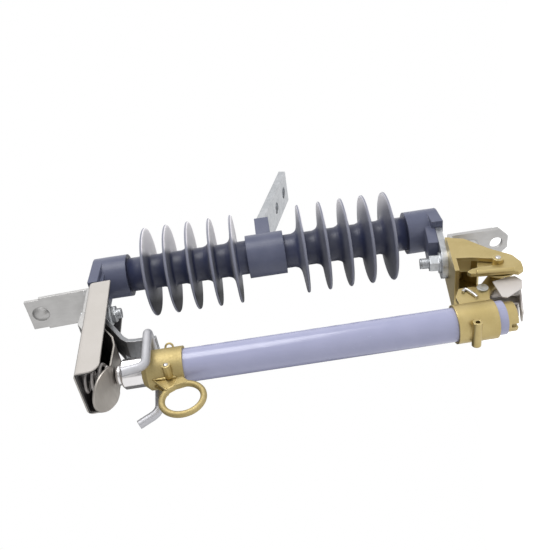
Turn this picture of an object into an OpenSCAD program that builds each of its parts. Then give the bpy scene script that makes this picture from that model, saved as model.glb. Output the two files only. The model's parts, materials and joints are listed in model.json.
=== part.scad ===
// Drop-out fuse cutout of the polymer insulator type, shown closed.
// Lengths are in millimetres. X runs across, -Y is the front where the fuse tube hangs, Z is up.
// The origin lies on the under face of the mounting bar, midway between its two bolt holes.

/* [Insulator] */
// Diameter of the trunk between the sheds
trunk_d = 36; // [32:0.5:38]
// Diameter of the sheds
shed_d = 95; // [80:1:100]
// Distance from one shed to the next
shed_pitch = 23; // [21:0.5:24]
// Thickness of a shed at its rim
shed_rim = 2.8; // [2:0.1:3.5]
// Wall of the clamp band round the middle
band_wall = 5; // [4:0.5:7]
// Height of the clamp band
band_h = 40; // [34:1:44]

/* [Mounting bar] */
// Angle by which the insulator leans forward of upright
lean = 17.6; // [12:0.2:22]
// Width of the mounting bar
bar_w = 40; // [34:1:44]
// Thickness of the mounting bar
bar_t = 8; // [6:0.5:10]
// Distance between the two bolt holes
bar_pitch = 38; // [34:1:42]
// Diameter of the bolt holes
bar_hole_d = 14; // [11:0.5:16]

/* [End fittings] */
// Diameter of the collars on the insulator ends
collar_d = 45; // [42:0.5:48]
// Width of the cast blocks behind the contacts
block_w = 45; // [42:1:50]
// Diameter of the clamping bolts
bolt_d = 10; // [9:0.5:12]

/* [Upper contact] */
// Outside width of the contact hood
hood_w = 48; // [46:1:54]
// Depth of the hood sides
hood_h = 22; // [20:1:24]
// Sheet thickness of the hood
hood_t = 2.5; // [2:0.1:3]
// Width of the contact strip
contact_w = 30; // [26:1:32]
// Diameter of the attachment hook rod
hook_d = 8; // [6:0.5:8]
// Width of the terminal straps
terminal_w = 38; // [32:1:42]

/* [Fuse holder] */
// Distance from the insulator axis to the fuse tube axis
tube_off = 158; // [152:1:164]
// Outside diameter of the fuse tube
tube_d = 30; // [26:0.5:31]
// Bore of the fuse tube
tube_bore = 18; // [14:0.5:20]
// Outside diameter of the pull ring
ring_d = 40.5; // [36:0.5:44]
// Diameter of the pull ring rod
ring_rod = 5.5; // [4.5:0.25:6]
// Diameter of the trunnion pins
pin_d = 10; // [8:0.5:10]

/* [Hinge] */
// Outside width of the hinge over its cheeks
hinge_w = 50; // [48:1:56]
// Sheet thickness of the hinge
hinge_t = 4; // [3:0.25:4.5]
// Thickness of the steel plate above the hinge
plate_t = 6; // [4:0.5:7]
// Width of the flipper strip
flipper_w = 11; // [9:0.5:12]

/* [Hidden] */
$fn = 64;
// Gap left between pieces that fit round one another
fit = 0.1;
// Radial gap of a pin turning in its hole
run = 0.06;
// Amount by which a cut passes the face it opens
over = 1;

// Sheds in each of the two groups
shed_count = 5;
trunk_r = trunk_d / 2;
band_r = trunk_r + band_wall;
shed_r = shed_d / 2;
// Underside heights of the innermost sheds of the two groups
upper_first = 31;
lower_first = 41;
upper_neck = 24;
lower_neck = 17;
z_top = upper_first + (shed_count - 1) * shed_pitch + upper_neck;
z_bot = -(lower_first + (shed_count - 1) * shed_pitch + lower_neck);
shed_under = concat(
    [for (i = [shed_count - 1:-1:0]) -(lower_first + i * shed_pitch)],
    [for (i = [0:shed_count - 1]) upper_first + i * shed_pitch]);
// Rise of a shed's upper side above its underside, as shares of reach and pitch
shed_share = [0.74, 0.48, 0.28, 0.14, 0.05, 0];
shed_rise = [0.15, 0.185, 0.22, 0.27, 0.36, 0.52];
rim_edge = 0.8;

// Seat of the bar: height of its under face above the band centre and its hole positions
lug_w = bar_w + 2;
lug_low = -7.5;
lug_high = 8;
lug_rear = 5;
lug_front = 43.5;
bar_root_y = lug_front - 1.5;
bar_root_z = 1.8;
bar_drop = bar_root_y * sin(lean) + bar_root_z * cos(lean) - bar_t / 2;
bar_mid = 118.4;
bar_tail = 18.7;
bar_start = 39.5;
// Part of the bar inside the lug stands clear of the seat by this relief
bar_relief = 0.4;
bar_foot = lug_front * cos(lean) - lug_low * sin(lean) + 1;

// Upper fitting
collar_r = collar_d / 2;
collar_top_h = 25;
block_h = 10;
upper_block_front = 38;
upper_bolt_y = tube_off - 90;
upper_seat_z = z_top + 29;
hood_tilt = 3;
tongue_w = 32;
tongue_t = 9;
bolt_hole_r = bolt_d / 2 + 0.5;
bolt_hex_r = bolt_d * 0.88;
bolt_head_h = bolt_d * 0.62;
upper_nut_h = bolt_d * 0.5;
lower_nut_h = bolt_d * 0.9;
washer_r = bolt_d * 1.05;
washer_t = 2;
upper_tail = 5;
lower_tail = 9;

// Hood, contact and hooks
hood_rear = 26;
hood_front = tube_off + 18 - upper_bolt_y;
hood_bend = 5;
hood_corner = 10;
strap_w = 20;
strap_t = 4;
contact_t = 1.6;
knob_gap = 0.3;
terminal_t = 3;
hook_half = 23.5;
hook_flare = 27;
hook_tip = 31;
hook_r = hook_d / 2;
hook_y = -(tube_off - 27);

// Lower fitting and hinge seat
collar_low_h = 23;
low_block_h = 11.5;
low_block_front = 22;
low_bolt_y = tube_off - 94;
low_seat_z = z_bot - 26;
low_tilt = -9;
foot_t = 4;
term_gap = 4.5;
low_term_y = -(tube_off - 116.5);
// Rear end of the steel plate and of the ledge that the casting sets on it
plate_rear = 42;
plate_r = 16;
ledge_w = 30;
ledge_front = 14;
ledge_rear = 46;
ledge_h = 10;
// Sheet of the hinge in front of and behind its bolt
hinge_front = 50;
hinge_rear = 6;
hinge_foot = 16;
hinge_step = 6;
lip_d = 5;
lip_in = [12, 24];
lip_out = [15.5, -9];
// Outline of a hinge cheek as offsets from the trunnion pin, round its rear, end and hook
cheek_edge = [[45, 17], [22.5, 0.5], [6.5, -15.5], [-6, -19], [-16.5, -17], [-20, -11.5], [-17, -6],
              [-15.5, 6], [-14, 20], [-12.5, 29], [-9, 31], [-6, 26]];
// Flare of the slot above the pin, from its straight part to the sheet
slot_low = 20;
slot_flare = [[0, 2], [6.7, 19], [10, 35]];

// Fuse holder
tube_y = -tube_off;
tube_r = tube_d / 2;
tube_end = z_bot - 47;
mouth_depth = 22;
cast_low = z_top - 64;
cast_high = z_top - 28;
cast_r = tube_r + 2.5;
cap_low = cast_high;
cap_high = z_top - 9;
cap_r = tube_r - 1.7;
cap_bevel = 2;
cap_sides = 10;
cap_turn = 9;
cap_facet = 0.15;
knob_r = 9;
knob_top = z_top - 3;
ring_r = (ring_d - ring_rod) / 2;
ring_y = tube_y - cast_r - ring_d / 2 - 2.5;
ring_z = cast_low + 1;
low_cast_top = z_bot - 4;
low_cast_end = z_bot - 39;
low_cast_r = tube_r + 2.2;
boss_r = 4;
boss_near = 15;
boss_far = 10.5;
boss_depth = 8;
boss_z = z_bot - 18;
pin_y = tube_y + 49;
pin_z = z_bot - 59;
pin_r = pin_d / 2;
toggle_y = tube_y + 25;
toggle_z = z_bot - 37;
toggle_r = 3;
link_r = 6;
lug_root = 6;
lug_top = 26;
hub_r = 6.5;
arm_in = flipper_w / 2 + 1;
arm_out = arm_in + 4;
lug_in = arm_out + 0.5;
lug_out = lug_in + 4;
muzzle_r = tube_r - 1.8;
muzzle_end = tube_end - 9;

// Colours of the finishes
paint = [0.36, 0.37, 0.47];
silicone = [0.22, 0.24, 0.32];
zinc = [0.72, 0.73, 0.74];
tin = [0.8, 0.8, 0.81];
cream = [0.84, 0.82, 0.79];
brass = [0.74, 0.65, 0.4];
glass_tube = [0.68, 0.69, 0.79];

// Points on the seats of the upper and lower hardware, given along and above the seat
function upper_pt(v, w) = [-upper_bolt_y + v * cos(hood_tilt) - w * sin(hood_tilt),
                           upper_seat_z + v * sin(hood_tilt) + w * cos(hood_tilt)];
function lower_pt(v, w) = [-low_bolt_y + v * cos(low_tilt) - w * sin(low_tilt),
                           low_seat_z + v * sin(low_tilt) + w * cos(low_tilt)];

// Outline of a bent strip of even thickness along a path
function unit(v) = v / norm(v);
function left(v) = [-v[1], v[0]];
function side(pts, i) = left(unit(pts[i + 1] - pts[i]));
function mitre(pts, i) =
    i == 0 ? side(pts, 0) :
    i == len(pts) - 1 ? side(pts, i - 1) :
    let (a = side(pts, i - 1), b = side(pts, i), m = unit(a + b)) m / (m * a);
function ribbon(pts, t) = concat(
    [for (i = [0:len(pts) - 1]) pts[i] + mitre(pts, i) * t / 2],
    [for (i = [len(pts) - 1:-1:0]) pts[i] - mitre(pts, i) * t / 2]);

// Outline of the insulator, one shed after another from the bottom up
function shed(z) = concat(
    [[trunk_r, z], [shed_r - rim_edge, z], [shed_r, z + rim_edge],
     [shed_r, z + shed_rim - rim_edge], [shed_r - rim_edge, z + shed_rim]],
    [for (i = [0:len(shed_share) - 1])
        [trunk_r + shed_share[i] * (shed_r - trunk_r), z + shed_rise[i] * shed_pitch]]);
function housing() = concat(
    [[0, z_bot], [trunk_r, z_bot]],
    [for (z = shed_under) each shed(z)],
    [[trunk_r, z_top], [0, z_top]]);

// Sets the upright drawing at its lean with the bar seat at the origin
module place() translate([0, -bar_mid, -bar_drop]) rotate([lean, 0, 0]) children();
// Axes of the mounting bar within the upright drawing
module bar_axes() rotate([-lean, 0, 0]) children();
// Seats of the upper and lower hardware
module upper_seat() translate([0, -upper_bolt_y, upper_seat_z]) rotate([hood_tilt, 0, 0]) children();
module lower_seat() translate([0, -low_bolt_y, low_seat_z]) rotate([low_tilt, 0, 0]) children();
// Draws an outline given in Y and Z as a plate of width w about x
module across(w, x = 0) translate([x, 0, 0]) rotate([90, 0, 90]) linear_extrude(w, center = true) children();
module block(x0, x1, y0, y1, z0, z1) translate([x0, y0, z0]) cube([x1 - x0, y1 - y0, z1 - z0]);
// Round bar between two points
module rod(a, b, d) {
    v = b - a;
    translate(a)
        rotate([0, acos(v[2] / norm(v)), atan2(v[1], v[0])])
            cylinder(h = norm(v), d = d);
}
// Link with round ends in the Y-Z plane
module link(a, b, r) {
    v = b - a;
    translate(a) circle(r);
    translate(b) circle(r);
    translate(a) rotate(atan2(v[1], v[0])) translate([0, -r]) square([norm(v), 2 * r]);
}

module insulator()
    color(silicone) place() rotate_extrude() polygon(housing());

module centre_band()
    color(paint) place() difference() {
        union() {
            cylinder(h = band_h, r = band_r, center = true);
            block(-lug_w / 2, lug_w / 2, lug_rear, lug_front, lug_low, lug_high);
        }
        cylinder(h = band_h + 2 * over, r = trunk_r + fit, center = true);
        bar_axes() block(-bar_w / 2 - fit, bar_w / 2 + fit, bar_start - fit, 2 * lug_front,
                         bar_drop - fit, bar_drop + bar_t + fit);
    }

module mounting_bar()
    color(zinc) difference() {
        block(-bar_w / 2, bar_w / 2, bar_start - bar_mid, bar_pitch / 2 + bar_tail, 0, bar_t);
        block(-bar_w, bar_w, -bar_mid, bar_foot - bar_mid, -over, bar_relief);
        for (s = [-1, 1])
            translate([0, s * bar_pitch / 2, -over]) cylinder(h = bar_t + 2 * over, d = bar_hole_d);
    }

// Plan of a cast block, round at the rear like its collar
module block_plan(front) {
    circle(collar_r - fit);
    translate([-block_w / 2, -front]) square([block_w, front]);
}

module upper_fitting()
    color(paint) place() difference() {
        union() {
            translate([0, 0, z_top]) cylinder(h = collar_top_h + over, r = collar_r);
            translate([0, 0, z_top + collar_top_h]) linear_extrude(block_h) block_plan(upper_block_front);
            upper_seat() {
                translate([0, 0, -tongue_t]) cylinder(h = tongue_t, d = tongue_w);
                block(-tongue_w / 2, tongue_w / 2, 0, upper_bolt_y - upper_block_front + collar_r,
                      -tongue_t, 0);
            }
        }
        upper_seat() cylinder(h = 4 * tongue_t, r = bolt_hole_r, center = true);
    }

// Bolt set with its head above and its nut below a stack, heights along the bolt
module bolt_set(high, low, nut, tail) {
    translate([0, 0, high]) cylinder(h = bolt_head_h, r = bolt_hex_r, $fn = 6);
    translate([0, 0, low - washer_t - nut - tail])
        cylinder(h = high - low + washer_t + nut + tail + over, d = bolt_d);
    translate([0, 0, low - washer_t]) cylinder(h = washer_t, r = washer_r);
    translate([0, 0, low - washer_t - nut]) cylinder(h = nut, r = bolt_hex_r, $fn = 6);
}

upper_stack_top = hood_t + terminal_t;
upper_stack_low = -tongue_t - strap_t - contact_t;

module upper_bolt()
    color(zinc) place() upper_seat() bolt_set(upper_stack_top, upper_stack_low, upper_nut_h, upper_tail);

// Section of the hood: a channel with its two bends rounded
module channel(w, h, r) {
    translate([-w / 2, -h]) square([w, h - r]);
    translate([-w / 2 + r, -2 * r]) square([w - 2 * r, 2 * r]);
    for (s = [-1, 1]) translate([s * (w / 2 - r), -r]) circle(r);
}

module hood()
    color(cream) place() upper_seat() difference() {
        translate([0, hood_rear, hood_t]) rotate([90, 0, 0]) linear_extrude(hood_rear + hood_front)
            difference() {
                channel(hood_w, hood_h, hood_bend);
                translate([0, -hood_t]) channel(hood_w - 2 * hood_t, hood_h, hood_bend - hood_t);
            }
        cylinder(h = 4 * hood_t, r = bolt_hole_r, center = true);
        translate([-hood_w, -hood_front, hood_t - hood_h]) difference() {
            translate([0, -over, -over]) cube([2 * hood_w, hood_corner + over, hood_corner + over]);
            translate([0, hood_corner, hood_corner]) rotate([0, 90, 0])
                cylinder(h = 2 * hood_w, r = hood_corner);
        }
    }

cup_z = knob_top + knob_gap + contact_t / 2;
spoon_r = contact_w * 0.64;
spoon_y = tube_y - 15;
contact_path = [
    upper_pt(13, -tongue_t - contact_t / 2),
    upper_pt(-30, -tongue_t - contact_t / 2),
    [tube_y + 36, cup_z + 3], [tube_y + 24, cup_z], [tube_y - 5, cup_z],
    [tube_y - 12, cup_z + 2], [spoon_y - spoon_r - 2, cup_z + 14]];

module contact_arm()
    color(tin) place() difference() {
        intersection() {
            across(2 * contact_w) polygon(ribbon(contact_path, contact_t));
            union() {
                block(-contact_w / 2, contact_w / 2, spoon_y, 0, 0, 2 * z_top);
                translate([0, spoon_y, 0]) cylinder(h = 2 * z_top, r = spoon_r);
            }
        }
        upper_seat() cylinder(h = 4 * tongue_t, r = bolt_hole_r, center = true);
    }

strap_x = hook_y + hook_r + strap_t / 2;
strap_path = [
    upper_pt(15, -tongue_t - contact_t - strap_t / 2),
    upper_pt(-17, -tongue_t - contact_t - strap_t / 2),
    [strap_x + 6, z_top - 6.5], [strap_x + 1.2, z_top - 11.5], [strap_x, z_top - 18],
    [strap_x, z_top - 38]];

module hook_strap()
    color(zinc) place() difference() {
        across(strap_w) polygon(ribbon(strap_path, strap_t));
        upper_seat() cylinder(h = 6 * tongue_t, r = bolt_hole_r, center = true);
    }

hook_z = z_top - 34;
hook_path = [[hook_half, hook_y, hook_z], [hook_flare, tube_y - 24, hook_z - 3],
             [hook_tip, tube_y - 32, hook_z + 15.5]];

module hook_rod()
    color(zinc) place() {
        rod([-hook_half, hook_y, hook_z], [hook_half, hook_y, hook_z], hook_d);
        for (s = [-1, 1]) {
            for (i = [0, 1]) {
                a = [s * hook_path[i][0], hook_path[i][1], hook_path[i][2]];
                b = [s * hook_path[i + 1][0], hook_path[i + 1][1], hook_path[i + 1][2]];
                translate(a) sphere(d = hook_d + 2 * fit);
                rod(a, b, hook_d);
            }
        }
    }

terminal_rise = 69;
terminal_step = 15;
terminal_narrow = 2;
terminal_bolt_r = 4;
terminal_bolt_z = terminal_rise - 12;
terminal_v = hood_rear - 1.5;

module upper_terminal()
    color(tin) place() upper_seat() difference() {
        across(terminal_w) polygon(ribbon(
            [[-14, hood_t + terminal_t / 2], [terminal_v, hood_t + terminal_t / 2],
             [terminal_v, terminal_rise]], terminal_t));
        for (s = [-1, 1])
            translate([s * (terminal_w / 2 + terminal_w / 2 - terminal_narrow), terminal_v,
                       terminal_rise])
                cube([terminal_w, 4 * terminal_t, 2 * terminal_step], center = true);
        cylinder(h = 6 * hood_t, r = bolt_hole_r, center = true);
        translate([0, terminal_v, terminal_bolt_z]) rotate([90, 0, 0])
            cylinder(h = 4 * terminal_t, r = terminal_bolt_r + fit, center = true);
    }

// Carriage bolt through a terminal strap, head towards the front
module terminal_bolt(t) {
    head_r = 8.5;
    head_h = 4;
    dome_r = (head_r * head_r + head_h * head_h) / (2 * head_h);
    rotate([90, 0, 0]) {
        translate([0, 0, t / 2]) intersection() {
            translate([0, 0, head_h - dome_r]) sphere(dome_r);
            cylinder(h = head_h + over, r = head_r);
        }
        translate([0, 0, -t / 2 - lower_tail]) cylinder(h = t + lower_tail + over, r = terminal_bolt_r);
        translate([0, 0, -t / 2 - 6.5]) cylinder(h = 6.5, r = 7.5, $fn = 6);
    }
}

module upper_terminal_bolt()
    color(zinc) place() upper_seat() translate([0, terminal_v, terminal_bolt_z]) terminal_bolt(terminal_t);

module lower_fitting()
    color(paint) place() {
        translate([0, 0, z_bot - collar_low_h - over]) cylinder(h = collar_low_h + over, r = collar_r);
        difference() {
            union() {
                translate([0, 0, z_bot - collar_low_h - low_block_h])
                    linear_extrude(low_block_h) block_plan(low_block_front);
                lower_seat() block(-ledge_w / 2, ledge_w / 2, ledge_front, ledge_rear, plate_t,
                                   plate_t + ledge_h);
            }
            lower_seat() block(-block_w, block_w, 0, plate_rear + fit, -low_block_h * 2, plate_t);
        }
    }

module hinge_plate()
    color(zinc) place() lower_seat() difference() {
        union() {
            block(-plate_r + fit, plate_r - fit, 0, plate_rear, 0, plate_t);
            cylinder(h = plate_t, r = plate_r);
        }
        cylinder(h = 4 * plate_t, r = bolt_hole_r, center = true);
    }

lower_stack_low = -hinge_t - foot_t;

module hinge_bolt()
    color(zinc) place() lower_seat() rotate([0, 180, 0])
        bolt_set(-lower_stack_low, -plate_t, lower_nut_h, lower_tail);

// Cheek of the hinge with the open slot that takes a trunnion pin
module cheek() {
    slot = pin_r + run;
    difference() {
        translate([pin_y, pin_z]) polygon(concat(
            [lower_pt(hinge_rear, 0) - [pin_y, pin_z]], cheek_edge,
            [[-slot, slot_low], [-slot, 0], [slot, 0]],
            [for (p = slot_flare) [slot + p[0], p[1]]]));
        translate([pin_y, pin_z]) circle(slot);
    }
}

module hinge()
    color(brass) place() difference() {
        union() {
            lower_seat() {
                block(-hinge_w / 2, hinge_w / 2, -hinge_front, hinge_rear, -hinge_t, 0);
                block(-hinge_w / 2 + hinge_step, hinge_w / 2 - hinge_step, 0, hinge_foot, -hinge_t, 0);
            }
            for (s = [-1, 1]) {
                across(hinge_t, s * (hinge_w - hinge_t) / 2) cheek();
                rod([s * hinge_w / 2, pin_y - lip_in[0], pin_z + lip_in[1]],
                    [s * hinge_w / 2, pin_y - lip_out[0], pin_z + lip_out[1]], lip_d);
            }
        }
        lower_seat() cylinder(h = 4 * hinge_t, r = bolt_hole_r, center = true);
    }

low_term_w = hinge_w - 2 * hinge_t - 2 * term_gap;
low_term_chamfer = 14;
low_term_end = z_bot - 95;
low_term_bolt_z = z_bot - 57;
low_term_hole_z = z_bot - 83;
low_term_hole_r = 6.5;
low_foot_w = -hinge_t - foot_t / 2;
low_foot_v = (low_term_y + low_bolt_y + low_foot_w * sin(low_tilt)) / cos(low_tilt);

module lower_terminal()
    color(tin) place() difference() {
        across(low_term_w) polygon(ribbon(
            [lower_pt(-washer_r, low_foot_w), lower_pt(low_foot_v, low_foot_w),
             [low_term_y, low_term_end]], foot_t));
        for (s = [-1, 1])
            translate([s * low_term_w / 2, low_term_y, low_term_end]) rotate([0, 45, 0])
                cube([low_term_chamfer, 4 * foot_t, low_term_chamfer], center = true);
        lower_seat() cylinder(h = 8 * hinge_t, r = bolt_hole_r, center = true);
        translate([0, low_term_y, low_term_hole_z]) rotate([90, 0, 0])
            cylinder(h = 4 * foot_t, r = low_term_hole_r, center = true);
        translate([0, low_term_y, low_term_bolt_z]) rotate([90, 0, 0])
            cylinder(h = 4 * foot_t, r = terminal_bolt_r + fit, center = true);
    }

module lower_terminal_bolt()
    color(zinc) place() translate([0, low_term_y, low_term_bolt_z]) terminal_bolt(foot_t);

module fuse_tube()
    color(glass_tube) place() translate([0, tube_y, 0]) difference() {
        translate([0, 0, tube_end]) cylinder(h = cast_high - 6 - tube_end, r = tube_r);
        translate([0, 0, tube_end - over]) cylinder(h = mouth_depth + over, r = tube_bore / 2);
    }

gusset = [[tube_y - tube_r - 1, cast_low + 22], [ring_y + ring_r * 0.78, ring_z + ring_r * 0.62],
          [ring_y + ring_r * 0.96, ring_z - ring_r * 0.3], [tube_y - tube_r - 1, cast_low + 2]];

module upper_casting()
    color(brass) place() difference() {
        union() {
            translate([0, tube_y, cast_low]) cylinder(h = cast_high - cast_low - 5, r = cast_r);
            translate([0, tube_y, cast_high - 5]) cylinder(h = 5, r1 = cast_r, r2 = cap_r);
            across(ring_rod) polygon(gusset);
            translate([0, ring_y, ring_z]) rotate([0, 90, 0]) rotate_extrude()
                translate([ring_r, 0]) circle(d = ring_rod);
        }
        translate([0, tube_y, cast_low - over]) cylinder(h = cast_high - 6 - cast_low + over, r = tube_r + fit);
    }

module ferrule()
    color(tin) place() translate([0, tube_y, 0]) {
        intersection() {
            rotate_extrude() polygon([[0, cap_low], [cap_r, cap_low], [cap_r, cap_high - cap_bevel],
                                      [cap_r - cap_bevel, cap_high], [0, cap_high]]);
            translate([0, 0, cap_low - over]) rotate(cap_turn)
                cylinder(h = cap_high - cap_low + 2 * over, r = cap_r + cap_facet, $fn = cap_sides);
        }
        rotate_extrude() polygon([
            [0, cap_high - over], [knob_r - 1.5, cap_high - over], [knob_r - 1.5, cap_high],
            [knob_r, cap_high + 1], [knob_r, knob_top - 3], [knob_r - 1.2, knob_top - 1.2],
            [knob_r - 4, knob_top - 0.3], [0, knob_top]]);
    }

lug_outline = [[tube_y + lug_root, toggle_z + lug_top], [toggle_y - link_r, toggle_z + lug_top],
               [toggle_y + link_r - 1, toggle_z + lug_top - link_r],
               [toggle_y + link_r - 1, toggle_z + link_r + 2], [toggle_y + 2, toggle_z],
               [toggle_y - 2, toggle_z - link_r + 0.4], [tube_y + lug_root, low_cast_end + 2]];

module lower_casting()
    color(brass) place() difference() {
        union() {
            translate([0, tube_y, low_cast_end]) cylinder(h = low_cast_top - low_cast_end, r = low_cast_r);
            translate([-boss_far, tube_y - low_cast_r - 1, boss_z]) rotate([0, 90, 0])
                cylinder(h = boss_far + boss_near, r = boss_r);
            for (s = [-1, 1]) across(lug_out - lug_in, s * (lug_out + lug_in) / 2) {
                translate([toggle_y, toggle_z]) circle(link_r);
                polygon(lug_outline);
            }
        }
        translate([0, tube_y, low_cast_end - over])
            cylinder(h = low_cast_top - low_cast_end + 2 * over, r = tube_r + fit);
        translate([boss_near - boss_depth, tube_y - low_cast_r - 1, boss_z]) rotate([0, 90, 0])
            cylinder(h = boss_depth + over, r = boss_r / 2);
        across(4 * lug_out) translate([toggle_y, toggle_z]) circle(toggle_r + fit);
    }

module trunnion()
    color(brass) place() difference() {
        union() {
            hub_half = hinge_w / 2 - hinge_t - 0.5;
            across(2 * hub_half) translate([pin_y, pin_z]) circle(hub_r);
            across(hinge_w + 8) translate([pin_y, pin_z]) circle(pin_r);
            for (s = [-1, 1]) across(arm_out - arm_in, s * (arm_out + arm_in) / 2)
                link([pin_y, pin_z], [toggle_y, toggle_z], hub_r - 0.5);
        }
        across(4 * lug_out) translate([toggle_y, toggle_z]) circle(toggle_r + fit);
    }

module toggle_pin()
    color(zinc) place() {
        across(2 * lug_out + 2) translate([toggle_y, toggle_z]) circle(toggle_r);
        for (s = [-1, 1]) across(1.5, s * (lug_out + 1)) translate([toggle_y, toggle_z]) circle(toggle_r + 2);
    }

module muzzle()
    color(brass) place() translate([0, tube_y, 0]) difference() {
        translate([0, 0, muzzle_end]) cylinder(h = tube_end - muzzle_end, r = muzzle_r);
        translate([0, 0, muzzle_end - over]) cylinder(h = tube_end - muzzle_end + 2 * over, r = tube_bore / 2 - 2);
        block(-2, 2, -tube_d, 0, muzzle_end - over, muzzle_end + 6);
    }

flipper_t = 1.6;
flipper_back = toggle_y + toggle_r + 1;
// Bent strip of the flipper and its two side walls, from the toggle pin round to the muzzle
flipper_path = [[flipper_back, toggle_z], [flipper_back + 5.5, toggle_z - 27],
                [flipper_back + 5, toggle_z - 32.5], [flipper_back - 1, toggle_z - 36],
                [tube_y - 3, muzzle_end - 7]];
flipper_wall = [[flipper_back + 0.8, toggle_z - 6], [flipper_back + 5.5, toggle_z - 27.4],
                [flipper_back + 4.9, toggle_z - 32.4], [flipper_back - 1, toggle_z - 35.8],
                [flipper_back - 8, toggle_z - 33], [flipper_back - 5, toggle_z - 18],
                [flipper_back - 6, toggle_z - 9]];

module flipper()
    color(tin) place() difference() {
        union() {
            across(flipper_w) translate([toggle_y, toggle_z]) circle(toggle_r + 2);
            across(flipper_w) polygon(ribbon(flipper_path, flipper_t));
            for (s = [-1, 1]) across(flipper_t, s * (flipper_w - flipper_t) / 2) polygon(flipper_wall);
        }
        across(4 * lug_out) translate([toggle_y, toggle_z]) circle(toggle_r + run);
    }

insulator();
centre_band();
mounting_bar();
upper_fitting();
upper_bolt();
hood();
contact_arm();
hook_strap();
hook_rod();
upper_terminal();
upper_terminal_bolt();
lower_fitting();
hinge_plate();
hinge_bolt();
hinge();
lower_terminal();
lower_terminal_bolt();
fuse_tube();
upper_casting();
ferrule();
lower_casting();
trunnion();
toggle_pin();
muzzle();
flipper();
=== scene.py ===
"""Looks of a drop-out fuse cutout: its finishes, small hardware and studio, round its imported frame."""

import json
import logging
import math
from collections.abc import Sequence
from dataclasses import dataclass, field
from enum import Enum
from typing import Any

import bmesh
import bpy
from mathutils import Matrix, Vector


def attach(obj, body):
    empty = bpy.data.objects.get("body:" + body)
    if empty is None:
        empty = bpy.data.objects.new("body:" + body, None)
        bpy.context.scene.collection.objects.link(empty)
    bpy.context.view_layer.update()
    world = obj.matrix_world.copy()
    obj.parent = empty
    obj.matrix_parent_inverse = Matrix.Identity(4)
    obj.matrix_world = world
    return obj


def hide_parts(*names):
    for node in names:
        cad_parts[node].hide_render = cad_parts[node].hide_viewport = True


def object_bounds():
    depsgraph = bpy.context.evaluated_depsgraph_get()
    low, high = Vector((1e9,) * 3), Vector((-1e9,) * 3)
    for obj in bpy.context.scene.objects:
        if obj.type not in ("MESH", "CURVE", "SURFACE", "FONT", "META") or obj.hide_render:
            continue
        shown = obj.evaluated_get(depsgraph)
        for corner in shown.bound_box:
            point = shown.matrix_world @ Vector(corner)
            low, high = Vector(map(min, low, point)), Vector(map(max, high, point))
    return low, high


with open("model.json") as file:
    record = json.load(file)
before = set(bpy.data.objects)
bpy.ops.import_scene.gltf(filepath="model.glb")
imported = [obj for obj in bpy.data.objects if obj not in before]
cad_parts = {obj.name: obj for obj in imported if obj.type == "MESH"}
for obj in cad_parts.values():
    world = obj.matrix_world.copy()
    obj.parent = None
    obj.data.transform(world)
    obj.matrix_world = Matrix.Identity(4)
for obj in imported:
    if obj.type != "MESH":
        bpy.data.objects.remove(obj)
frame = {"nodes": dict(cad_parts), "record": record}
CAD_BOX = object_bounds()
LOG = logging.getLogger("cutout")
MILLIMETRE = 0.001

Colour = tuple[float, float, float]
Point = tuple[float, float, float]
Pair = tuple[float, float]


def linear(red: int, green: int, blue: int) -> Colour:
    """Turns a colour as a screen shows it into the linear values that shaders take.

    Args:
        red, green, blue: The screen values, 0 to 255.

    Returns:
        The linear colour.
    """
    return tuple(
        v / 12.92 if v <= 0.04045 else ((v + 0.055) / 1.055) ** 2.4 for v in (red / 255, green / 255, blue / 255)
    )


def show(name: str, data: Any) -> bpy.types.Object:
    """Puts an object into the scene.

    Args:
        name: Its name.
        data: Its mesh, lamp or camera.

    Returns:
        The object.
    """
    thing = bpy.data.objects.new(name, data)
    bpy.context.scene.collection.objects.link(thing)
    return thing


def smooth_path(points: Sequence[Point], steps: int) -> list[Point]:
    """Runs a smooth curve through points.

    Args:
        points: The points that the curve passes.
        steps: Steps from one point to the next.

    Returns:
        The points of the curve.
    """
    knots = [Vector(p) for p in points]
    knots = [2 * knots[0] - knots[1], *knots, 2 * knots[-1] - knots[-2]]
    path = []
    for a, b, c, d in zip(knots, knots[1:], knots[2:], knots[3:]):
        for i in range(steps):
            t = i / steps
            path.append(
                0.5 * (2 * b + (c - a) * t + (2 * a - 5 * b + 4 * c - d) * t**2 + (3 * b - a - 3 * c + d) * t**3)
            )
    return [tuple(p) for p in [*path, knots[-2]]]


@dataclass(frozen=True)
class Stance:
    """How the upright drawing of the cutout, in millimetres, stands in the shared frame."""

    lean: float = math.radians(17.6)
    back: float = 118.4
    drop: float = 10.41528

    def turn(self) -> Matrix:
        """Returns: The rotation from the upright drawing to the shared frame."""
        return Matrix.Rotation(self.lean, 4, "X")

    def matrix(self) -> Matrix:
        """Returns: The map from millimetres of the drawing to metres of the shared frame."""
        return Matrix.Scale(MILLIMETRE, 4) @ Matrix.Translation((0, -self.back, -self.drop)) @ self.turn()

    def seat(self, y: float, z: float, tilt: float) -> Matrix:
        """Gives a seat of hardware that is tilted in the drawing.

        Args:
            y, z: The seat's place in the drawing.
            tilt: Its tilt in degrees.

        Returns:
            The map from the seat to the shared frame.
        """
        return self.matrix() @ Matrix.Translation((0, y, z)) @ Matrix.Rotation(math.radians(tilt), 4, "X")


STANCE = Stance()
UPRIGHT = STANCE.matrix()
UPPER_SEAT = STANCE.seat(-68.0, 176.0, 3.0)
LOWER_SEAT = STANCE.seat(-64.0, -176.0, -9.0)


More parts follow.
